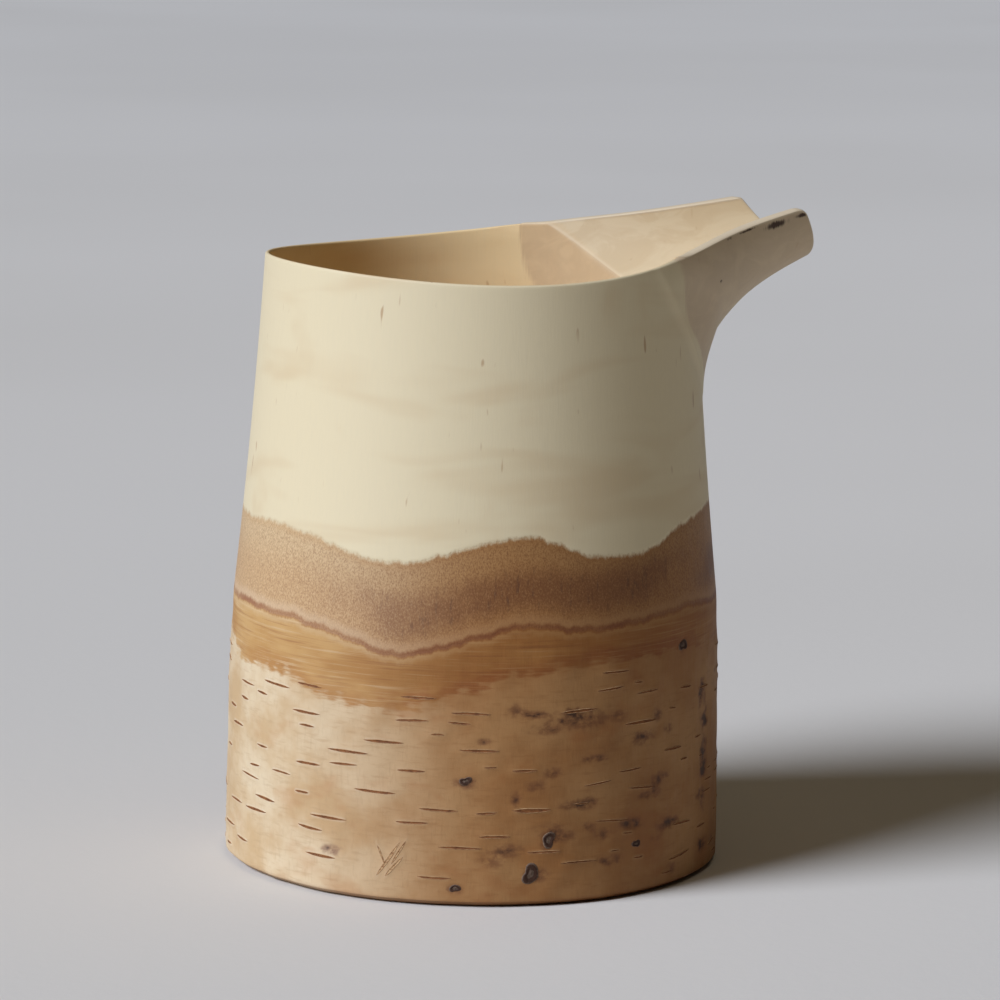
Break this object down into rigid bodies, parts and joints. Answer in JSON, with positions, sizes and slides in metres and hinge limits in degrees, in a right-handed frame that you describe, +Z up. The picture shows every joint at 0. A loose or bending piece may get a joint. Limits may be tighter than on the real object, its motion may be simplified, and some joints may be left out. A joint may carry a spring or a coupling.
{
  "type": "log jug with pouring spout",
  "caption": "Hollowed birch-log jug with a carved tapering body, bark left on the lower half, an inset wooden bottom and an open trough spout cut from a side branch.",
  "frame": {"origin": "on the standing plane, under the middle of the part's length and width; the log's own axis is 12.7 mm behind it along X", "axes": "+Z up along the log, +X along the spout, Y across the mouth, with Y = 0 the plane of symmetry"},
  "size_m": [0.1354, 0.11, 0.143],
  "materials": {
    "trunk_wood": "smooth scraped birch sapwood, matt oiled",
    "branch_wood": "smooth carved branch wood, pinker and greyer than the trunk",
    "inner_bark": "matt speckled brown inner bark, cut across",
    "outer_bark": "papery cream and tan birch bark with dark slits",
    "board_wood": "dry flat-sawn board, matt"
  },
  "bodies": {
    "root": {"trunk_wall": "trunk_wood", "branch_spout": "branch_wood", "inner_bark": "inner_bark", "outer_bark": "outer_bark", "base_board": "board_wood"}
  },
  "joints": []
}
